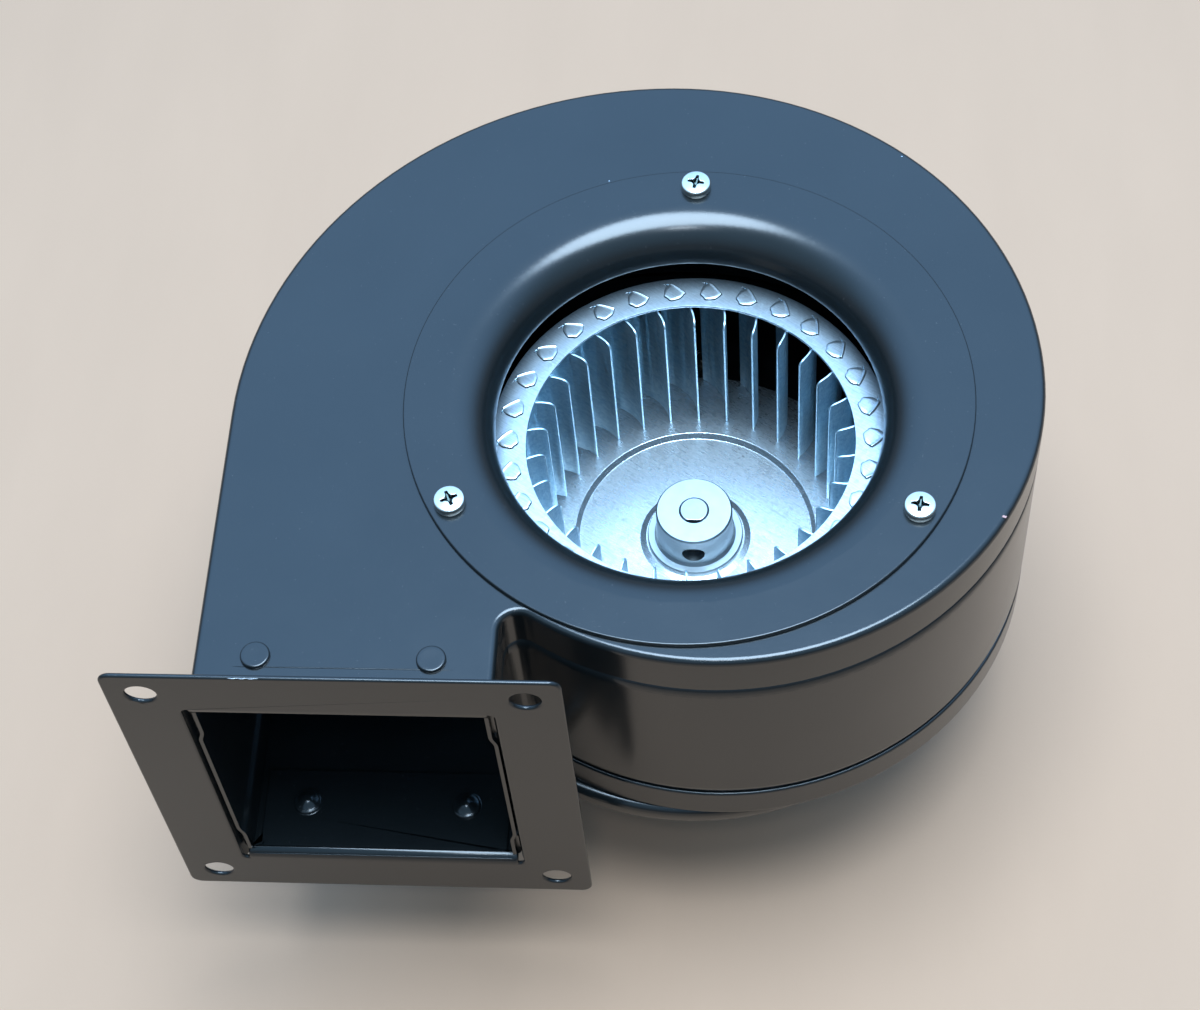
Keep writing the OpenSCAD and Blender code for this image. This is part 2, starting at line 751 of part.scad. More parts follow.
module plate_hole() {
    translate([0, 0, z_motor_plate - motor_plate_t])
        cylinder(h = 3 * motor_plate_t, d = screw_hole_d);
}

module motor_plate() {
    fold_in = motor_plate_fold - motor_plate_t;
    edge = motor_plate_r - motor_plate_fold;
    color(BLACK) difference() {
        rotate_extrude($fn = 180) translate([0, z_back]) {
            translate([bearing_wall_r + 0.3, -motor_plate_t])
                square([edge - bearing_wall_r - 0.3, motor_plate_t]);
            intersection() {
                translate([edge, -motor_plate_fold]) difference() {
                    circle(motor_plate_fold, $fn = 64);
                    circle(fold_in, $fn = 64);
                }
                translate([edge - eps, -motor_plate_fold]) square(motor_plate_fold + eps);
            }
            translate([motor_plate_r - motor_plate_t, -motor_plate_rim])
                square([motor_plate_t, motor_plate_rim - motor_plate_fold + eps]);
        }
        at_angles(screw_angles, plate_screw_r) plate_hole();
        at_angles(bell_screw_angles, bell_screw_r) plate_hole();
    }
}

module plate_screws() {
    color(ZINC) at_angles(screw_angles, plate_screw_r)
        translate([0, 0, z_motor_plate]) mirror([0, 0, 1])
            pan_screw(screw_d, screw_head_d, screw_head_h, screw_len);
}

module plate_nuts() {
    color(ZINC) at_angles(screw_angles, plate_screw_r)
        translate([0, 0, z_back + sheet_t]) press_nut();
}

// The front end bell: a disc with a register inside the can and a boss round the bearing.
module front_bell() {
    color([0.75, 0.76, 0.77]) difference() {
        rotate_extrude($fn = 128) polygon([
            [0, z_bell - register_h],
            [can_in_r - 0.05, z_bell - register_h],
            [can_in_r - 0.05, z_bell],
            [can_r, z_bell],
            [can_r, z_motor_plate],
            [bearing_wall_r, z_motor_plate],
            [bearing_wall_r, z_boss_top - 0.6],
            [bearing_wall_r - 0.6, z_boss_top],
            [0, z_boss_top]
        ]);
        translate([0, 0, z_front_bearing - 10]) cylinder(h = bearing_w + 10, d = bearing_d);
        translate([0, 0, z_bell]) cylinder(h = 20, r = shaft_d / 2 + 1.5);
        translate([0, 0, z_bell - register_h - 1])
            cylinder(h = register_h + 1.5, r1 = magnet_in_r, r2 = bearing_d / 2 + 3);
        at_angles(bell_screw_angles, bell_screw_r)
            translate([0, 0, z_bell - 3]) cylinder(h = bell_t + 4, d = screw_d + 0.1);
        at_angles(tie_screw_angles, tie_screw_r)
            translate([0, 0, z_bell - 3]) cylinder(h = bell_t + 1.5, d = tie_screw_d + 0.1);
    }
}

module bell_screws() {
    color(ZINC) at_angles(bell_screw_angles, bell_screw_r)
        translate([0, 0, z_back]) pan_screw(screw_d, screw_head_d, screw_head_h, bell_screw_len);
}

// The can: a drawn steel cup, open towards the bell, with a bearing wall on its floor.
module motor_can() {
    color([0.16, 0.16, 0.17]) difference() {
        union() {
            difference() {
                union() {
                    translate([0, 0, can_edge_r]) cylinder(h = z_bell - can_edge_r, r = can_r, $fn = 128);
                    cylinder(h = can_edge_r + eps, r = can_r - can_edge_r, $fn = 128);
                    rotate_extrude($fn = 128)
                        translate([can_r - can_edge_r, can_edge_r]) circle(can_edge_r, $fn = 48);
                }
                translate([0, 0, can_floor_t]) cylinder(h = z_bell, r = can_in_r, $fn = 128);
            }
            translate([0, 0, can_floor_t - eps])
                cylinder(h = bearing_w + eps, r = bearing_wall_r);
        }
        translate([0, 0, can_floor_t]) cylinder(h = bearing_w + 1, d = bearing_d);
        at_angles(tie_screw_angles, tie_screw_r) {
            translate([0, 0, -1]) cylinder(h = can_floor_t + 2, d = tie_screw_d + 0.2, $fn = 48);
            countersink(0.1);
        }
        translate([0, 0, grommet_z]) rotate([-90, 0, 0])
            cylinder(h = can_r + 1, d = lead_hole_d + 3.2, $fn = 48);
    }
}

module magnets() {
    color([0.22, 0.22, 0.24]) for (side = [90, 270]) rotate(side - magnet_angle / 2)
        translate([0, 0, stack_z - 2])
            rotate_extrude(angle = magnet_angle, $fn = 128)
                translate([magnet_in_r, 0]) square([can_in_r - magnet_in_r, stack_len + 4]);
}

module armature_core() {
    slot_r = armature_r * 0.72;
    slot_d = armature_r * 0.22;
    color(STEEL) translate([0, 0, stack_z]) difference() {
        cylinder(h = stack_len, r = armature_r, $fn = 128);
        translate([0, 0, -1]) cylinder(h = stack_len + 2, d = shaft_d);
        for (i = [0:slot_count - 1]) rotate((i + 0.5) * 360 / slot_count) translate([0, 0, -1]) {
            translate([slot_r, 0, 0]) cylinder(h = stack_len + 2, d = slot_d, $fn = 32);
            translate([slot_r, -1, 0]) cube([armature_r, 2, stack_len + 2]);
        }
    }
}

// Copper in the slots, joined by the coil ends above and below the stack.
module windings() {
    slot_r = armature_r * 0.72;
    slot_d = armature_r * 0.22 - 0.3;
    end_in = armature_r * 0.48;
    end_out = armature_r * 0.86;
    color([0.66, 0.36, 0.16]) {
        for (z = [stack_z - coil_end, stack_z + stack_len]) translate([0, 0, z]) difference() {
            cylinder(h = coil_end, r = end_out, $fn = 96);
            translate([0, 0, -1]) cylinder(h = coil_end + 2, r = end_in, $fn = 96);
        }
        for (i = [0:slot_count - 1]) rotate((i + 0.5) * 360 / slot_count)
            translate([slot_r, 0, stack_z - eps]) cylinder(h = stack_len + 2 * eps, d = slot_d, $fn = 32);
    }
}

// Copper bars on an insulating sleeve, with a slit between neighbours and risers to the coils.
module commutator() {
    color([0.72, 0.45, 0.24]) translate([0, 0, commutator_z]) difference() {
        union() {
            cylinder(h = commutator_len, r = commutator_r);
            translate([0, 0, commutator_len - 1.2]) cylinder(h = 1.2, r = commutator_r + 0.9);
        }
        translate([0, 0, -1]) cylinder(h = commutator_len + 2, d = shaft_d);
        for (i = [0:slot_count - 1]) rotate(i * 360 / slot_count)
            translate([shaft_d / 2 + 2.5, -0.3, -1]) cube([commutator_r, 0.6, commutator_len + 2]);
    }
}

module brush_card() {
    color([0.45, 0.30, 0.16]) translate([0, 0, z_card]) difference() {
        cylinder(h = brush_card_t, r = can_in_r, $fn = 128);
        translate([0, 0, -1]) cylinder(h = brush_card_t + 2, r = holder_in_r, $fn = 96);
        at_angles(tie_screw_angles, tie_screw_r)
            translate([0, 0, -1]) cylinder(h = brush_card_t + 2, d = 3.6, $fn = 32);
    }
}

module at_brushes() {
    for (a = brush_angles) rotate(a) translate([0, 0, z_brush]) children();
}

module brush_holders() {
    w = brush_w + 2 * holder_t + 0.2;
    h = z_brush + brush_h / 2 + holder_t + 0.1 - z_card - brush_card_t;
    color([0.80, 0.66, 0.30]) at_brushes()
        translate([holder_in_r + 0.4, 0, z_card + brush_card_t - z_brush]) difference() {
            translate([0, -w / 2, 0]) cube([holder_len, w, h]);
            translate([-1, -brush_w / 2 - 0.1, h - holder_t - brush_h - 0.2])
                cube([holder_len + 2 - holder_t - 1, brush_w + 0.2, brush_h + 0.2]);
            translate([2, -0.8, h - holder_t - 1]) cube([holder_len - 5, 1.6, holder_t + 2]);
        }
}

module brushes() {
    color([0.12, 0.12, 0.13]) at_brushes() difference() {
        translate([commutator_r - 2, -brush_w / 2, -brush_h / 2]) cube([brush_len + 2, brush_w, brush_h]);
        translate([0, 0, -brush_h]) cylinder(h = 2 * brush_h, r = commutator_r + 0.05);
    }
}

// A point on the spring's coil, at an angle along it.
function spring_point(a, start, stop, turns) =
    [start + (stop - start) * a / (360 * turns), spring_r * cos(a), spring_r * sin(a)];

// A round wire wound along +X between two distances, as rings of points joined up.
module coil_spring(start, stop, turns) {
    sides = 8;
    steps = turns * 16;
    rings = [for (i = [0:steps]) let (a = 360 * turns * i / steps, c = spring_point(a, start, stop, turns))
        for (k = [0:sides - 1]) let (b = 360 * k / sides)
            c + spring_wire_r * [sin(b), cos(b) * cos(a), cos(b) * sin(a)]];
    walls = [for (i = [0:steps - 1], k = [0:sides - 1]) let (n = (k + 1) % sides)
        [i * sides + k, i * sides + n, (i + 1) * sides + n, (i + 1) * sides + k]];
    ends = [[for (k = [sides - 1:-1:0]) k], [for (k = [0:sides - 1]) steps * sides + k]];
    polyhedron(points = rings, faces = concat(walls, ends), convexity = 6);
}

module brush_springs() {
    start = commutator_r + brush_len + spring_wire_r;
    stop = holder_in_r + 0.4 + holder_len - holder_t - spring_wire_r;
    color(STEEL) at_brushes() coil_spring(start, stop, 4);
}

// A countersunk head with its face at height 0, grown all round by a clearance.
module countersink(grow) {
    depth = (tie_head_d - tie_screw_d) / 2;
    translate([0, 0, -eps])
        cylinder(h = depth + eps, d1 = tie_head_d + 2 * grow, d2 = tie_screw_d + 2 * grow, $fn = 48);
}

// Long countersunk screws that pull the can's floor against the bell.
module tie_screws() {
    slot_w = 0.8;
    head_sink = 0.05;
    color(ZINC) at_angles(tie_screw_angles, tie_screw_r) difference() {
        union() {
            translate([0, 0, head_sink]) countersink(0);
            translate([0, 0, slot_w]) cylinder(h = z_bell + 2, d = tie_screw_d, $fn = 48);
        }
        translate([-tie_head_d, -slot_w / 2, -1]) cube([2 * tie_head_d, slot_w, 2]);
    }
}

// A rubber ring in the can's wall, with a flange that follows the wall on each side.
module lead_grommet() {
    lip_t = 1.6;
    taper = 0.7;
    neck_d = lead_hole_d + 3;
    color([0.07, 0.07, 0.07]) translate([0, 0, grommet_z]) difference() {
        union() {
            intersection() {
                rotate([-90, 0, 0]) translate([0, 0, can_in_r - lip_t - taper])
                    cylinder(h = lip_t + taper, d = grommet_d - 2, $fn = 48);
                translate([0, 0, -grommet_d]) cylinder(h = 2 * grommet_d, r = can_in_r, $fn = 128);
            }
            rotate([-90, 0, 0]) translate([0, 0, can_in_r - taper])
                cylinder(h = can_t + 2 * taper, d = neck_d, $fn = 48);
            difference() {
                rotate([-90, 0, 0]) translate([0, 0, can_r - taper])
                    cylinder(h = lip_t + taper, d1 = grommet_d, d2 = grommet_d - 2 * taper, $fn = 48);
                translate([0, 0, -grommet_d]) cylinder(h = 2 * grommet_d, r = can_r, $fn = 128);
            }
        }
        rotate([-90, 0, 0]) translate([0, 0, can_in_r - grommet_d])
            cylinder(h = can_t + 2 * grommet_d, d = lead_hole_d, $fn = 48);
    }
}

front_shell();
scroll_band();
back_shell();
outlet_flange();
inlet_ring();
inlet_screws();
inlet_nuts();
motor_plate();
plate_screws();
plate_nuts();
front_bell();
bell_screws();
motor_can();
magnets();
brush_card();
brush_holders();
brushes();
brush_springs();
tie_screws();
lead_grommet();
bearing_outer_rings();
bearing_balls();
shaft();
bearing_inner_rings();
armature_core();
windings();
commutator();
fan_hub();
set_screw();
fan_plate();
blades();
fan_ring();
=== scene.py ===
import json
import math

import bpy
from mathutils import Matrix, Vector


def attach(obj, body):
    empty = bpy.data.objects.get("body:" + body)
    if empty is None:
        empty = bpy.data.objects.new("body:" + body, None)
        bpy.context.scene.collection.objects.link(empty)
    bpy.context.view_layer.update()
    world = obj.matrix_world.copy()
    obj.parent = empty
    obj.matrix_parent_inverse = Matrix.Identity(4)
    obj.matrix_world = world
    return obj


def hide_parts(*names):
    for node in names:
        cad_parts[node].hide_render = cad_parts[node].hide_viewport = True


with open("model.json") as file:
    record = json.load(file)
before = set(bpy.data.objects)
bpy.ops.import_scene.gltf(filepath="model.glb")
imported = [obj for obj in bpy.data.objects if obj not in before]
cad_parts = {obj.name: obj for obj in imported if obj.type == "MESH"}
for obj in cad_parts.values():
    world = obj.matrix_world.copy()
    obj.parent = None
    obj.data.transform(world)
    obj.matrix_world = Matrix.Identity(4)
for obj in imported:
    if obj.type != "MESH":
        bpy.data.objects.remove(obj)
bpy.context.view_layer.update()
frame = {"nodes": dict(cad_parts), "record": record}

NODES = frame["nodes"]

# Sizes are in millimetres in the part's own frame. Pieces are scaled to metres as they are made.
MM = 0.001
FRONT_FACE = 136.0
LIP_TOP = 58.1
RING_TOP = 117.4
SCREW_CIRCLE = 64.1


# ---- Material building blocks ------------------------------------------------------------

class Shader:
    """A principled material with helpers for its node tree."""

    def __init__(self, name, color, metallic, roughness):
        self.mat = bpy.data.materials.new(name)
        self.mat.use_nodes = True
        self.tree = self.mat.node_tree
        self.bsdf = self.tree.nodes["Principled BSDF"]
        self.bsdf.inputs["Base Color"].default_value = (*color, 1)
        self.bsdf.inputs["Metallic"].default_value = metallic
        self.bsdf.inputs["Roughness"].default_value = roughness
        self.coords = self.add("ShaderNodeTexCoord").outputs["Object"]

    def add(self, kind, **values):
        node = self.tree.nodes.new(kind)
        for key, value in values.items():
            setattr(node, key, value)
        return node

    def link(self, a, b):
        self.tree.links.new(a, b)

    def scaled(self, scale):
        """The object coordinates stretched by a scale on each axis."""
        node = self.add("ShaderNodeMapping")
        node.inputs["Scale"].default_value = scale
        self.link(self.coords, node.inputs["Vector"])
        return node.outputs["Vector"]

    def turned(self, angle, scale):
        """The object coordinates turned about Z, then stretched."""
        turn = self.add("ShaderNodeVectorRotate", rotation_type="Z_AXIS")
        turn.inputs["Angle"].default_value = math.radians(angle)
        self.link(self.coords, turn.inputs["Vector"])
        stretch = self.add("ShaderNodeVectorMath", operation="MULTIPLY")
        stretch.inputs[1].default_value = scale
        self.link(turn.outputs["Vector"], stretch.inputs[0])
        return stretch.outputs["Vector"]

    def noise(self, scale, detail=4.0, rough=0.55, vector=None):
        node = self.add("ShaderNodeTexNoise")
        node.inputs["Scale"].default_value = scale
        node.inputs["Detail"].default_value = detail
        node.inputs["Roughness"].default_value = rough
        self.link(vector or self.coords, node.inputs["Vector"])
        return node.outputs["Fac"]

    def ramp(self, value, low, high):
        """Black up to low, white from high on, and an even slope between them."""
        node = self.add("ShaderNodeValToRGB")
        for element, at, grey in zip(node.color_ramp.elements, (low, high), (0, 1)):
            element.position = at
            element.color = (grey, grey, grey, 1)
        self.link(value, node.inputs["Fac"])
        return node.outputs["Color"]

    def math(self, operation, a, b):
        node = self.add("ShaderNodeMath", operation=operation)
        for socket, value in zip(node.inputs, (a, b)):
            if isinstance(value, (int, float)):
                socket.default_value = value
            else:
                self.link(value, socket)
        return node.outputs[0]

    def mix(self, factor, a, b):
        """Colors or sockets blended by a factor socket."""
        node = self.add("ShaderNodeMix", data_type="RGBA")
        self.link(factor, node.inputs["Factor"])
        for socket, value in ((node.inputs["A"], a), (node.inputs["B"], b)):
            if isinstance(value, tuple):
                socket.default_value = (*value, 1)
            else:
                self.link(value, socket)
        return node.outputs["Result"]

    def bump(self, height, strength, distance):
        node = self.add("ShaderNodeBump")
        node.inputs["Strength"].default_value = strength
        node.inputs["Distance"].default_value = distance
        self.link(height, node.inputs["Height"])
        self.link(node.outputs["Normal"], self.bsdf.inputs["Normal"])

    def painted_shade(self):
        """The share of painted shade, the darkening in recesses and gaps, that a mesh of the
        scene's own carries on its points.
        """
        return self.add("ShaderNodeAttribute", attribute_name="painted_shade").outputs["Fac"]

    def color(self, socket):
        self.link(socket, self.bsdf.inputs["Base Color"])

    def roughness(self, value, low, high):
        """Roughness between low and high as value goes from 0 to 1."""
        node = self.add("ShaderNodeMapRange")
        node.inputs["To Min"].default_value = low
        node.inputs["To Max"].default_value = high
        self.link(value, node.inputs["Value"])
        self.link(node.outputs["Result"], self.bsdf.inputs["Roughness"])


PAINT_IOR = 1.50
DUST_COLOR, DUST_SHARE = (0.16, 0.15, 0.14), 0.10
# The dark colour of the painted shade that meshes carry in recesses and gaps.
PAINTED_SHADE_COLOR = (0.03, 0.042, 0.042)


def black_paint():
    """Satin black baked enamel: orange peel, faint rub marks and pale dust."""
    s = Shader("black_enamel", (0.008, 0.009, 0.011), 0.0, 0.25)
    s.bsdf.inputs["IOR"].default_value = PAINT_IOR
    cloud = s.noise(34.0, 3.0)
    dust = s.ramp(s.noise(1500.0, 1.0, 0.4), 0.735, 0.80)
    base = s.mix(cloud, (0.004, 0.0055, 0.006), (0.008, 0.010, 0.011))
    s.color(s.mix(s.math("MULTIPLY", dust, DUST_SHARE), base, DUST_COLOR))
    s.roughness(s.noise(60.0, 5.0, 0.62), 0.17, 0.24)
    s.bump(s.noise(900.0, 2.0, 0.45), 0.05, 0.0002)
    return s.mat


def can_paint():
    """Plain dark enamel of the motor's can."""
    s = Shader("can_enamel", (0.020, 0.020, 0.022), 0.0, 0.42)
    s.color(s.mix(s.noise(40.0), (0.018, 0.018, 0.020), (0.028, 0.028, 0.030)))
    s.roughness(s.noise(90.0, 4.0), 0.34, 0.50)
    s.bump(s.noise(700.0, 2.0), 0.2, 0.0002)
    return s.mat


SPANGLE_SCALE, SPANGLE_SHARE = 900.0, 0.16
GRAIN_TURN, GRAIN_SCALE, GRAIN_SHARE = 34.0, (240.0, 3000.0, 900.0), 0.60
SMUDGE_SHARE = 0.24


def galvanised(name, dark, light, rough):
    """Zinc-coated strip: small spangles, slanted rolling marks, smudges, and the painted shade of
    its mesh in gaps and recesses.
    """
    s = Shader(name, light, 0.95, rough[0])
    cells = s.add("ShaderNodeTexVoronoi", feature="F1")
    cells.inputs["Scale"].default_value = SPANGLE_SCALE
    s.link(s.coords, cells.inputs["Vector"])
    shade = s.ramp(cells.outputs["Color"], 0.0, 1.0)
    grain = s.noise(1.0, 4.0, 0.7, s.turned(GRAIN_TURN, GRAIN_SCALE))
    smudge = s.noise(90.0, 3.0, 0.6)
    tone = s.math("ADD", s.math("MULTIPLY", shade, SPANGLE_SHARE),
                  s.math("MULTIPLY", grain, GRAIN_SHARE))
    tone = s.math("ADD", tone, s.math("MULTIPLY", smudge, SMUDGE_SHARE))
    tone = s.ramp(tone, 0.36, 0.62)
    # Painted shade: the mesh's shade share darkens its gaps and recesses.
    s.color(s.mix(s.painted_shade(), s.mix(tone, dark, light), PAINTED_SHADE_COLOR))
    s.roughness(tone, *rough)
    s.bump(grain, 0.22, 0.0001)
    return s.mat


def metal(name, dark, light, rough, grain_scale=(500.0, 500.0, 500.0), bump=0.08):
    """Bare or plated metal with a grain, which takes the painted shade of its mesh in recesses and
    gaps.
    """
    s = Shader(name, light, 1.0, rough[0])
    grain = s.noise(1.0, 4.0, 0.6, s.scaled(grain_scale))
    # Painted shade: the mesh's shade share darkens its recesses.
    s.color(s.mix(s.painted_shade(), s.mix(grain, dark, light), PAINTED_SHADE_COLOR))
    s.roughness(s.noise(120.0, 3.0), *rough)
    s.bump(grain, bump, 0.0002)
    return s.mat


def matt(name, dark, light, rough, scale):
    """A dull non-metal with a fine grain."""
    s = Shader(name, light, 0.0, rough[0])
    grain = s.noise(scale, 4.0, 0.6)
    s.color(s.mix(grain, dark, light))
    s.roughness(grain, *rough)
    s.bump(grain, 0.15, 0.0002)
    return s.mat


# One material for each slot of the record.
MATERIALS = {
    "black_paint": black_paint(),
    "can_paint": can_paint(),
    "galvanised": galvanised("galvanised_steel", (0.28, 0.34, 0.38), (0.51, 0.58, 0.63),
                             (0.42, 0.30)),
    "zinc_plate": metal("zinc_plate", (0.46, 0.46, 0.43), (0.64, 0.64, 0.60), (0.20, 0.32)),
    "steel": metal("ground_steel", (0.36, 0.38, 0.40), (0.50, 0.52, 0.54), (0.24, 0.36)),
    "cast_aluminium": metal("cast_aluminium", (0.52, 0.53, 0.54), (0.70, 0.71, 0.72),
                            (0.42, 0.56), (700.0, 700.0, 700.0), 0.3),
    "ferrite": matt("ferrite", (0.035, 0.035, 0.038), (0.07, 0.07, 0.075), (0.5, 0.7), 800.0),
    "lamination": metal("lamination", (0.30, 0.31, 0.32), (0.48, 0.49, 0.50),
                        (0.34, 0.46), (60.0, 60.0, 4000.0), 0.4),
    "copper": metal("copper_wire", (0.45, 0.17, 0.07), (0.72, 0.34, 0.16), (0.24, 0.36),
                    (900.0, 900.0, 1800.0), 0.5),
    "brass": metal("brass", (0.55, 0.40, 0.14), (0.78, 0.60, 0.26), (0.24, 0.36)),
    "card": matt("brush_board", (0.16, 0.09, 0.04), (0.26, 0.16, 0.08), (0.5, 0.65), 900.0),
    "carbon": matt("carbon", (0.020, 0.020, 0.022), (0.045, 0.045, 0.048),
                   (0.35, 0.55), 1200.0),
    "black_oxide": metal("black_oxide", (0.03, 0.03, 0.032), (0.06, 0.06, 0.064), (0.3, 0.42)),
    "rubber": matt("rubber", (0.012, 0.012, 0.012), (0.024, 0.024, 0.024), (0.6, 0.75), 900.0),
}

# Pieces whose finish differs from the rest of their slot. The blades' lighter, bluer copy of the
# galvanised finish is painted sheen.
FINISHES = {
    # Painted sheen: the blades carry a lighter, bluer copy of the galvanised steel in place of the
    # sheen they reflect.
    "blades": galvanised("galvanised_blades_painted_sheen", (0.44, 0.64, 0.76), (0.72, 0.88, 0.95),
                         (0.42, 0.30)),
    "fan_plate": galvanised("galvanised_plate", (0.30, 0.35, 0.38), (0.70, 0.74, 0.77),
                            (0.36, 0.24)),
    "fan_hub": metal("turned_hub", (0.34, 0.40, 0.43), (0.44, 0.49, 0.52), (0.34, 0.44),
                     (300.0, 300.0, 2500.0), 0.12),
}

for part in frame["record"]["subparts"]:
    mesh = NODES[part["node"]].data
    mesh.materials.clear()
    mesh.materials.append(FINISHES.get(part["node"]) or MATERIALS[part["material_slot"]])

# ---- Rounded edges on the CAD pieces -----------------------------------------------------


WELD_REACH = 0.000004
FLAT_ANGLE, SHARP_ANGLE = 0.4, 32.0
EDGE_RADII = {"outlet_flange": 0.57, "inlet_ring": 0.45, "fan_ring": 0.08, "fan_plate": 0.1,
              "shaft": 0.15, "motor_plate": 0.4, "blades": 0.12}


def soften(name, width):
    """Rounds a CAD node's sharp edges with modifiers, so that they catch the light."""
    node = NODES[name]
    weld = node.modifiers.new("weld", "WELD")
    weld.merge_threshold = WELD_REACH
    flat = node.modifiers.new("flat", "DECIMATE")
    flat.decimate_type = "DISSOLVE"
    flat.angle_limit = math.radians(FLAT_ANGLE)
    bevel = node.modifiers.new("bevel", "BEVEL")
    bevel.width = width * MM
    bevel.segments = 3
    bevel.limit_method = "ANGLE"
    bevel.angle_limit = math.radians(SHARP_ANGLE)
    bevel.harden_normals = True
    bevel.use_clamp_overlap = False


for name, width in EDGE_RADII.items():
    soften(name, width)

# ---- Pieces of the scene's own -----------------------------------------------------------


def piece(name, verts, faces, slot, body="housing", smooth=True):
    """A mesh object from points in millimetres, riding on a body."""
    mesh = bpy.data.meshes.new(name)
    mesh.from_pydata([Vector(v) * MM for v in verts], [], faces)
    mesh.validate()
    obj = bpy.data.objects.new(name, mesh)
    bpy.context.scene.collection.objects.link(obj)
    mesh.materials.append(MATERIALS[slot])
    for face in mesh.polygons:
        face.use_smooth = smooth
    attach(obj, body)
    return obj


def paint_shade(obj, painted_shade):
    """Stores how much painted shade each point carries, for the metals' shaders: darkening in
    recesses and gaps.
    """
    obj.data.attributes.new("painted_shade", "FLOAT", "POINT").data.foreach_set("value", painted_shade)


def revolved(name, profile, center, slot, steps=48):
    """A closed turned piece: (radius, height) points from the axis at the top outwards."""
    verts, faces = [(center[0], center[1], center[2] + profile[0][1])], []
    for radius, height in profile[1:]:
        for i in range(steps):
            a = 2 * math.pi * i / steps
            verts.append((center[0] + radius * math.cos(a), center[1] + radius * math.sin(a),
                          center[2] + height))
    rings = len(profile) - 1
    for i in range(steps):
        j = (i + 1) % steps
        faces.append((0, 1 + i, 1 + j))
        for k in range(rings - 1):
            a, b = 1 + k * steps, 1 + (k + 1) * steps
            faces.append((a + i, b + i, b + j, a + j))
    last = 1 + (rings - 1) * steps
    faces.append(tuple(last + i for i in reversed(range(steps))))
    return piece(name, verts, faces, slot)


# Clinch marks over the CAD's flat discs: a shallow button with a rounded edge on the neck's
# outside, and a rounder pip on the lip in the duct.
CLINCHES = ((-97.4, -73.6), (-56.4, -73.9))
EDGE_R, EDGE_AT, EDGE_Z = 0.55, 2.95, 0.42
BUTTON = [(0, 0.93), (1.5, 0.95), (2.4, 0.97)] + [
    (EDGE_AT + EDGE_R * math.sin(k * math.pi / 16), EDGE_Z + EDGE_R * math.cos(k * math.pi / 16))
    for k in range(9)] + [(3.5, -0.1)]
PIP_BALL, PIP_HEIGHT, PIP_STEP = 2.7, 2.3, 0.45
PIP = [(PIP_STEP * k, PIP_HEIGHT - PIP_BALL + math.sqrt(PIP_BALL ** 2 - (PIP_STEP * k) ** 2))
       for k in range(5)] + [(2.5, 1.05), (3.1, 0.8), (3.42, 0.73), (3.62, 0.4), (3.7, -0.1)]
for n, (x, y) in enumerate(CLINCHES, 1):
    revolved(f"clinch_button_{n}", BUTTON, (x, y, FRONT_FACE), "black_paint")
    revolved(f"clinch_pip_{n}", PIP, (x, y, LIP_TOP), "black_paint")

# Beads of paint that close the joint between the duct's side walls and the flange's back.
BEAD_TIP, BEAD_BACK, BEAD_WIDTH, BEAD_ENDS = -87.16, -85.1, 1.3, (52.8, 138.4)
for side, x, turn in (("left", -113.17, 1), ("right", -40.41, -1)):
    corners = ((x, BEAD_TIP), (x + turn * BEAD_WIDTH, BEAD_BACK), (x, BEAD_BACK))
    ring = [(cx, cy, z) for z in BEAD_ENDS for cx, cy in corners]
    order = [(0, 1, 4, 3), (1, 2, 5, 4), (2, 0, 3, 5), (2, 1, 0), (3, 4, 5)]
    piece(f"joint_bead_{side}", ring,
          order if turn > 0 else [face[::-1] for face in order], "black_paint", smooth=False)


def ridge(name, path, radius, slot, steps=10):
    """A slim bead with tapered ends along a path of points."""
    verts, faces, count = [], [], len(path)
    for i, at in enumerate(path):
        ahead = Vector(path[min(i + 1, count - 1)]) - Vector(path[max(i - 1, 0)])
        side = ahead.cross(Vector((0, 0, 1))).normalized()
        up = side.cross(ahead).normalized()
        reach = min(i, count - 1 - i) / 3
        size = radius * (math.sqrt(1 - (1 - reach) ** 2) if reach < 1 else 1) + 0.01
        for k in range(steps):
            a = 2 * math.pi * k / steps
            verts.append(Vector(at) + side * (size * math.cos(a)) + up * (size * math.sin(a)))
    for i in range(count - 1):
        for k in range(steps):
            m = (k + 1) % steps
            faces.append((i * steps + k, (i + 1) * steps + k, (i + 1) * steps + m, i * steps + m))
    faces.append(tuple(range(steps)))
    faces.append(tuple((count - 1) * steps + k for k in reversed(range(steps))))
    return piece(name, verts, faces, slot)


def wall_edges(node, height):
    """Chains of points where a node's outer walls end at a height, with the walls' normals."""
    mesh = NODES[node].data
    links, normals = {}, {}
    for face in mesh.polygons:
        level = [tuple(round(c / MM, 3) for c in mesh.vertices[v].co) for v in face.vertices]
        level = [at for at in level if abs(at[2] - height) < 0.01]
        middle = face.center
        if abs(face.normal.z) > 0.2 or len(level) < 2:
            continue
        if face.normal.x * middle.x + face.normal.y * middle.y <= 0:
            continue
        a, b = level[:2]
        for at, other in ((a, b), (b, a)):
            links.setdefault(at, set()).add(other)
            normals[at] = normals.get(at, Vector()) + face.normal
    chains, left = [], set(links)
    for start in sorted(links, key=lambda at: (len(links[at]) != 1, at)):
        if start not in left:
            continue
        chain, at = [], start
        while at is not None:
            left.discard(at)
            chain.append((Vector(at), normals[at].normalized()))
            at = next((other for other in sorted(links[at]) if other in left), None)
        if len(chain) > 4:
            chains.append(chain)
    return chains


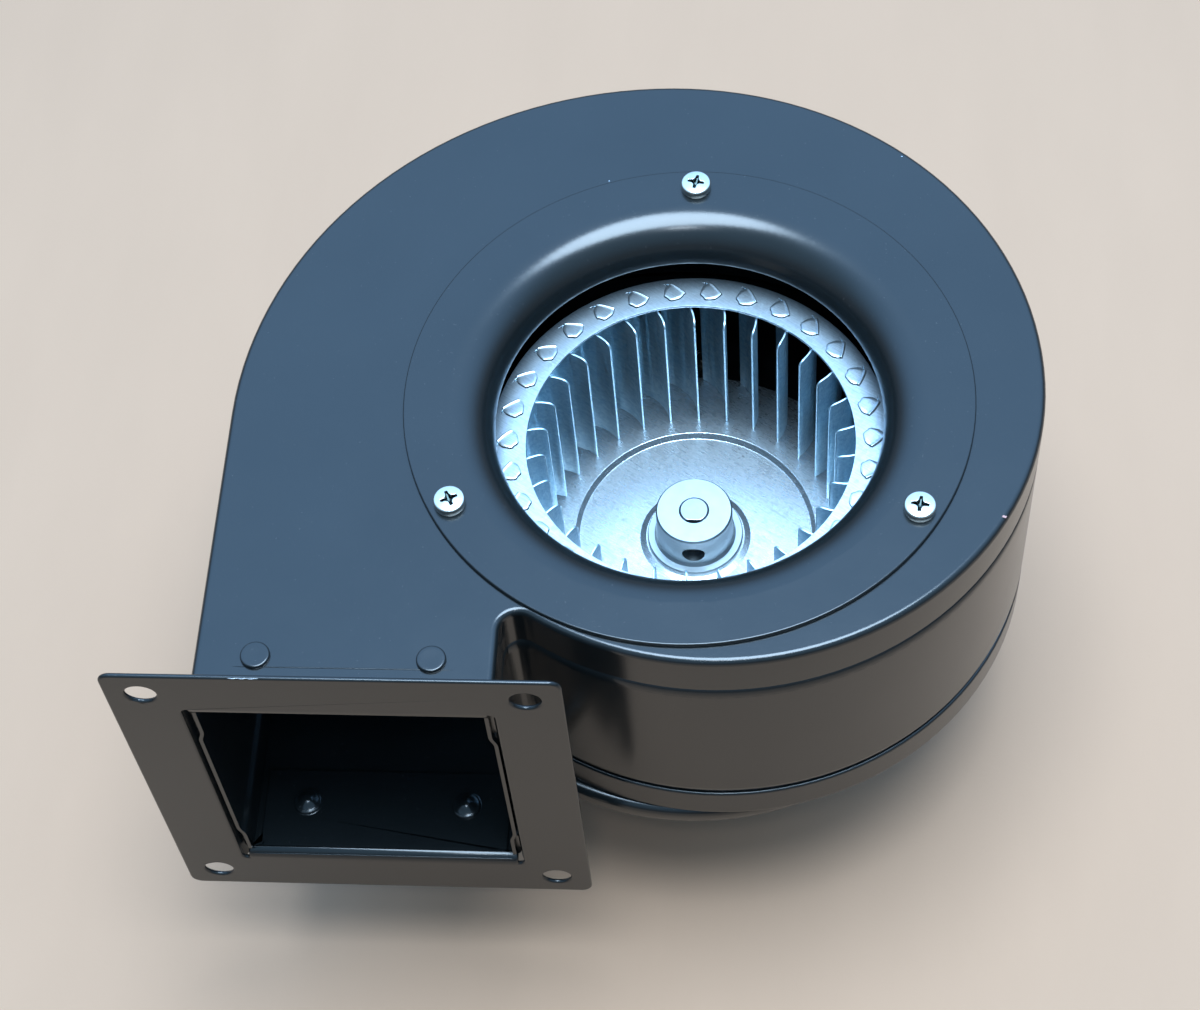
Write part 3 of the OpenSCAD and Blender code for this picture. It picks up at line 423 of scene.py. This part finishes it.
def along_walls(name, node, height, section, slot):
    """A closed section, (inset, drop) points, swept along the ends of a node's outer walls."""
    verts, faces, n = [], [], len(section)
    for chain in wall_edges(node, height):
        if (chain[1][0] - chain[0][0]).cross(Vector((0, 0, 1))).dot(chain[0][1]) > 0:
            chain.reverse()
        start = len(verts)
        for at, out in chain:
            verts += [at - out * inset - Vector((0, 0, drop)) for inset, drop in section]
        for i in range(len(chain) - 1):
            for k in range(n):
                m = (k + 1) % n
                faces.append((start + i * n + k, start + i * n + m,
                              start + (i + 1) * n + m, start + (i + 1) * n + k))
        faces.append(tuple(start + k for k in reversed(range(n))))
        faces.append(tuple(start + (len(chain) - 1) * n + k for k in range(n)))
    return piece(name, verts, faces, slot)


# The back skirt's rolled rim, and a band of paint over the joggle under the front skirt.
BACK_SKIRT_END, FRONT_SKIRT_END = 66.6, 123.2
RIM_R = 0.7
along_walls("back_skirt_rim", "back_shell", BACK_SKIRT_END,
            [(RIM_R - RIM_R * math.cos(k * math.pi / 6), 0.05 - RIM_R * math.sin(k * math.pi / 6))
             for k in range(12)], "black_paint")
along_walls("front_seam_fill", "front_shell", FRONT_SKIRT_END,
            [(0.04, 0.12), (0.9, 0.12), (0.9, 4.9), (0.12, 4.9), (0.04, 4.4)], "black_paint")

# The press tool's witness lines: one across the neck, one along the lower lip's bend.
NECK_LINE = [(-103 + 2.1 * i, -76.4, FRONT_FACE - 0.04) for i in range(26)]
ridge("neck_witness", NECK_LINE, 0.16, "black_paint")
BEND_Y, BEND_Z, BEND_R, BEND_ANGLE = -85.7, 55.45, 2.65, 52.0
LIP_LEFT, LIP_RIGHT, LIP_STEPS = -111.2, -42.4, 40
LIP_LINE = [(LIP_LEFT + (LIP_RIGHT - LIP_LEFT) * i / LIP_STEPS,
             BEND_Y - BEND_R * math.sin(math.radians(BEND_ANGLE)) + 0.12,
             BEND_Z + BEND_R * math.cos(math.radians(BEND_ANGLE)) - 0.05)
            for i in range(LIP_STEPS + 1)]
ridge("lip_witness", LIP_LINE, 0.30, "black_paint")


# ---- Pan heads with a cross recess -------------------------------------------------------

HEAD_HEIGHT, HEAD_DOME = 2.48, 0.024
HEAD_EDGE, HEAD_SIDE, EDGE_RISE, EDGE_WIDTH = 3.25, 1.6, 0.627, 0.58
HEAD_RADII = [0.12 * k for k in range(1, 21)] + [2.7, 3.0, 3.25, 3.4, 3.54, 3.66, 3.75, 3.81, 3.83]
SHANK_R, SHANK_LENGTH = 1.99, 8.0
WING_REACH, WING_HALF, WING_TAPER, CORE_R = 2.1, 0.49, 0.07, 0.84
RECESS_BLEND, RECESS_WALL, RECESS_REACH = 6, 0.24, 2.5
RECESS_DEPTH, RECESS_RISE = 1.75, 0.45


def cross_depth(x, y):
    """Depth of the cross recess at a point of the head."""
    middle = math.hypot(x, y)
    wings = [max(abs(a) - WING_REACH, abs(b) - (WING_HALF - WING_TAPER * abs(a)))
             for a, b in ((x, y), (y, x))]
    wings.append(middle - CORE_R)
    distance = -math.log(sum(math.exp(-RECESS_BLEND * d) for d in wings)) / RECESS_BLEND
    inside = min(max((0.04 - distance) / RECESS_WALL, 0.0), 1.0)
    return inside * inside * (3 - 2 * inside) * (RECESS_DEPTH - RECESS_RISE * middle)


def head_height(radius):
    """Height of a pan head: a low dome with an elliptic edge."""
    if radius <= HEAD_EDGE:
        return HEAD_HEIGHT - HEAD_DOME * radius * radius
    share = (radius - HEAD_EDGE) / EDGE_WIDTH
    return HEAD_SIDE + EDGE_RISE * math.sqrt(max(0.0, 1 - share ** 2))


def pan_screws(name, node, places, base, up):
    """Screws at (x, y, turn) places: heads standing on a plane, shanks behind it."""
    steps = 120
    verts, faces, painted_shade = [], [], []
    for x, y, turn in places:
        first = len(verts)
        c, s = math.cos(math.radians(turn)), math.sin(math.radians(turn))
        verts.append((x, y, base + up * (head_height(0) - cross_depth(0, 0))))
        # Painted shade: the middle of the cross recess is fully darkened.
        painted_shade.append(1.0)
        rings = [(r, None) for r in HEAD_RADII] + [
            (3.83, 0.15), (3.74, 0.0), (SHANK_R, 0.0),
            (SHANK_R, 0.6 - SHANK_LENGTH), (1.5, -SHANK_LENGTH)]
        for r, z in rings:
            for i in range(steps):
                a = 2 * math.pi * i / steps
                px, py = r * math.cos(a), r * math.sin(a)
                h, cut = z, 0.0
                if h is None:
                    if r < RECESS_REACH:
                        cut = cross_depth(c * px + s * py, c * py - s * px)
                    h = head_height(r) - cut
                # Painted shade in the cross recess, growing with its depth.
                painted_shade.append(min(cut / 0.5, 1.0))
                verts.append((x + px, y + py, base + up * h))
        for i in range(steps):
            j = (i + 1) % steps
            faces.append((first, first + 1 + i, first + 1 + j))
            for k in range(len(rings) - 1):
                a, b = first + 1 + k * steps, first + 1 + (k + 1) * steps
                faces.append((a + i, b + i, b + j, a + j))
        last = first + 1 + (len(rings) - 1) * steps
        faces.append(tuple(last + i for i in reversed(range(steps))))
    if up < 0:
        faces = [face[::-1] for face in faces]
    obj = piece(name, verts, faces, "zinc_plate")
    obj.data.set_sharp_from_angle(angle=math.radians(50))
    # Hands the recesses' painted shade to the zinc material.
    paint_shade(obj, painted_shade)
    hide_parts(node)


def around(turns):
    """The three screw places, with how far each recess is turned."""
    return [(SCREW_CIRCLE * math.cos(math.radians(a)), SCREW_CIRCLE * math.sin(math.radians(a)),
             turn) for a, turn in zip((90, 210, 330), turns)]


RING_SEAT, PLATE_SEAT = 137.1, 54.5
pan_screws("ring_pan_screws", "inlet_screws", around((-12, 25, -9)), RING_SEAT, 1)
pan_screws("plate_pan_screws", "plate_screws", around((8, 40, -20)), PLATE_SEAT, -1)

# ---- Blade tabs: a rolled root, then a leaf that lies on the ring ------------------------

BLADE_COUNT, FIRST_BLADE = 30, 89.9
BLADE_IN, BLADE_CURVE, TAB_START, TAB_SPAN, TAB_REACH = 36.3, 13.0, 8.4, 3.0, 3.9
TAB_FLARE, FLARE_WIDTH, TIP_NARROWING = 0.42, 0.26, 1.42

# Rows go out along the leaf (how far, height). Columns go across it (place, cap, painted shade),
# and a cap under 1 lowers the leaf's edges. The painted shade darkens the leaf's edges, where the
# gap under them lies in shade.
TAB_ROWS = [(-0.52, -0.1), (-0.50, 0.26), (-0.42, 0.46), (-0.28, 0.58), (-0.12, 0.60),
            (0.02, 0.55), (0.14, 0.49), (0.5, 0.47), (1.0, 0.48), (1.9, 0.51), (2.8, 0.53),
            (3.4, 0.53), (3.78, 0.50), (3.92, 0.40), (3.97, 0.22), (3.97, -0.1)]
TAB_COLUMNS = [(-1.0, -0.1, 1), (-1.0, 0.24, 1), (-0.985, 0.40, 0.4), (-0.94, 0.50, 0),
               (-0.6, 1, 0), (-0.2, 1, 0), (0.2, 1, 0), (0.6, 1, 0),
               (0.94, 0.50, 0), (0.985, 0.40, 0.4), (1.0, 0.24, 1), (1.0, -0.1, 1)]


def blade_rise(along):
    """How far a blade has curved from the radius at a distance along it."""
    return BLADE_CURVE - math.sqrt(BLADE_CURVE ** 2 - along ** 2)


def leaf(turn):
    """Points, faces and grime of one tab at a blade's angle."""
    root = Vector((BLADE_IN + TAB_START, blade_rise(TAB_START)))
    tip = Vector((BLADE_IN + TAB_START + TAB_SPAN, blade_rise(TAB_START + TAB_SPAN)))
    along = (tip - root).normalized()
    across = Vector((-along.y, along.x))
    width = (tip - root).length
    c, s = math.cos(math.radians(turn)), math.sin(math.radians(turn))
    verts, painted_shade = [], []
    for v, high in TAB_ROWS:
        t = min(max(v, 0.0) / TAB_REACH, 1.0)
        flare = math.sin(min(t, TAB_FLARE) / TAB_FLARE * math.pi / 2)
        half = width / 2 + 0.06 + FLARE_WIDTH * flare
        if t > TAB_FLARE:
            k = (t - TAB_FLARE) / (1 - TAB_FLARE)
            half -= TIP_NARROWING * (0.75 * k + 0.25 * k * k)
        for u, cap, edge_shade in TAB_COLUMNS:
            bulge = -0.22 * (1 - u * u) * max(0.0, 1 - max(v, 0.0) / 2.0)
            wave = 0.10 * math.cos(3 * math.pi * u) * max(0.0, t - 0.7) / 0.3
            at = root + along * (width / 2 + half * u) + across * (v + bulge + wave)
            rise = min(high, cap + 0.02 if cap < 1 and v > 0.3 else cap * 1.4)
            verts.append((c * at.x - s * at.y, s * at.x + c * at.y, RING_TOP + rise))
            # Painted shade along the leaf's edges and under its low tip, where the gap shadow
            # falls.
            painted_shade.append(max(edge_shade, 1.0 if v > 3.9 and high < 0.45 else 0.0))
    n = len(TAB_COLUMNS)
    faces = [(r * n + k, r * n + k + 1, (r + 1) * n + k + 1, (r + 1) * n + k)
             for r in range(len(TAB_ROWS) - 1) for k in range(n - 1)]
    return verts, faces, painted_shade


leaf_verts, leaf_faces, leaf_painted_shade = [], [], []
for i in range(BLADE_COUNT):
    verts, faces, painted_shade = leaf(FIRST_BLADE + 360 / BLADE_COUNT * i)
    start = len(leaf_verts)
    leaf_verts += verts
    leaf_faces += [tuple(start + k for k in face) for face in faces]
    leaf_painted_shade += painted_shade
leaves = piece("tab_leaves", leaf_verts, leaf_faces, "galvanised", "rotor")
# The leaves' painted shade, darker at their edges.
paint_shade(leaves, leaf_painted_shade)

# ---- Chipped and dusty spots on the paint ------------------------------------------------


def flakes(name, spots, slot, n=11):
    """Thin irregular discs at (x, y, width, height) on the front face."""
    verts, faces = [], []
    for seed, (x, y, wide, high) in enumerate(spots):
        start = len(verts)
        for level, scale in ((-0.05, 1.0), (0.03, 0.9)):
            for k in range(n):
                a = 2 * math.pi * k / n
                r = scale * (0.78 + 0.22 * math.sin(2.3 * k + 1.7 * seed)
                             + 0.1 * math.sin(5.1 * k + seed))
                verts.append((x + r * wide / 2 * math.cos(a), y + r * high / 2 * math.sin(a),
                              FRONT_FACE + level))
        faces += [(start + k, start + (k + 1) % n, start + n + (k + 1) % n, start + n + k)
                  for k in range(n)]
        faces.append(tuple(start + n + k for k in range(n)))
        faces.append(tuple(start + n - 1 - k for k in range(n)))
    return piece(name, verts, faces, slot, smooth=False)


flakes("dust_specks", [(50.3, 47.2, 0.5, 0.4), (52.5, 75.3, 0.6, 0.4), (-22.5, 67.0, 0.5, 0.5)],
       "steel")
chip = flakes("primer_chip", [(75.2, -33.2, 1.5, 0.9)], "black_paint")
chip.data.materials[0] = matt("primer", (0.30, 0.15, 0.14), (0.42, 0.24, 0.22), (0.6, 0.7), 900.0)
SCRATCH = [(-99.5 + 0.3 * i, -88.12 + 0.06 * math.sin(0.9 * i), 152.2) for i in range(26)]
ridge("flange_scratch", SCRATCH, 0.10, "steel")

# ---- Stage -------------------------------------------------------------------------------


FLOOR_SIZE = 6.0


def pale_board():
    """A smooth pale card with faint fibres."""
    s = Shader("pale_board", (0.37, 0.22, 0.14), 0.0, 0.75)
    fibre = s.noise(1.0, 5.0, 0.6, s.scaled((30.0, 9.0, 30.0)))
    s.color(s.mix(fibre, (0.350, 0.209, 0.129), (0.386, 0.231, 0.144)))
    s.bump(s.noise(260.0, 4.0, 0.6), 0.12, 0.0005)
    return s.mat


bpy.ops.mesh.primitive_plane_add(size=FLOOR_SIZE, location=(0, 0, 0))
floor = bpy.context.object
floor.name = "floor"
floor.data.materials.append(pale_board())


SKY_LOW = (0.20, 0.21, 0.23)
SKY_FRONT = (0.42, 0.74, 1.08)
SKY_BACK = (1.14, 2.14, 3.60)


def soft_sky():
    """A dome that is neutral and dim at the horizon, and cooler and stronger behind the object."""
    world = bpy.data.worlds.new("studio")
    bpy.context.scene.world = world
    world.use_nodes = True
    nodes, links = world.node_tree.nodes, world.node_tree.links
    coords = nodes.new("ShaderNodeTexCoord")
    split = nodes.new("ShaderNodeSeparateXYZ")
    links.new(coords.outputs["Generated"], split.inputs[0])

    def blend(axis, low, high, first, second):
        """From the first color to the second as the view's axis goes from low to high."""
        step = nodes.new("ShaderNodeMapRange")
        step.interpolation_type = "SMOOTHSTEP"
        step.inputs["From Min"].default_value = low
        step.inputs["From Max"].default_value = high
        links.new(split.outputs[axis], step.inputs["Value"])
        mix = nodes.new("ShaderNodeMix")
        mix.data_type = "RGBA"
        links.new(step.outputs["Result"], mix.inputs["Factor"])
        for socket, value in ((mix.inputs["A"], first), (mix.inputs["B"], second)):
            if isinstance(value, tuple):
                socket.default_value = (*value, 1)
            else:
                links.new(value, socket)
        return mix.outputs["Result"]

    sky = blend("Y", -0.35, 0.50, SKY_FRONT, SKY_BACK)
    links.new(blend("Z", 0.05, 0.80, SKY_LOW, sky), nodes["Background"].inputs["Color"])


soft_sky()

LIGHT_TARGET = (0, 0, 0.1)


def area(name, place, size, power, color):
    """A round area light that faces the object."""
    data = bpy.data.lights.new(name, "AREA")
    data.shape = "DISK"
    data.size, data.energy, data.color = size, power, color
    lamp = bpy.data.objects.new(name, data)
    bpy.context.scene.collection.objects.link(lamp)
    lamp.location = place
    lamp.rotation_mode = "QUATERNION"
    lamp.rotation_quaternion = (Vector(LIGHT_TARGET) - Vector(place)).to_track_quat("-Z", "Y")


area("overhead", (0.08, -0.03, 1.45), 0.90, 46.2, (0.60, 0.80, 1.0))
area("front", (0.02, -0.62, 1.35), 0.10, 1.6, (0.75, 0.88, 1.0))
bpy.context.scene.view_settings.view_transform = "Standard"

# ---- Camera ------------------------------------------------------------------------------

CAMERA_PLACE = (0.02763, -0.35045, 0.64762)
LENS, SENSOR_WIDTH = 76.52, 36.0
RIGHT = Vector((0.997, 0.052, -0.060))
UP = Vector((-0.012, 0.848, 0.530))
BACK = RIGHT.cross(UP)
lens = bpy.data.cameras.new("camera")
lens.lens = LENS
lens.sensor_width = SENSOR_WIDTH
camera = bpy.data.objects.new("camera", lens)
bpy.context.scene.collection.objects.link(camera)
turn = Matrix((RIGHT, UP, BACK)).transposed()
camera.rotation_mode = "QUATERNION"
camera.rotation_quaternion = turn.to_quaternion()
camera.location = CAMERA_PLACE
bpy.context.scene.camera = camera
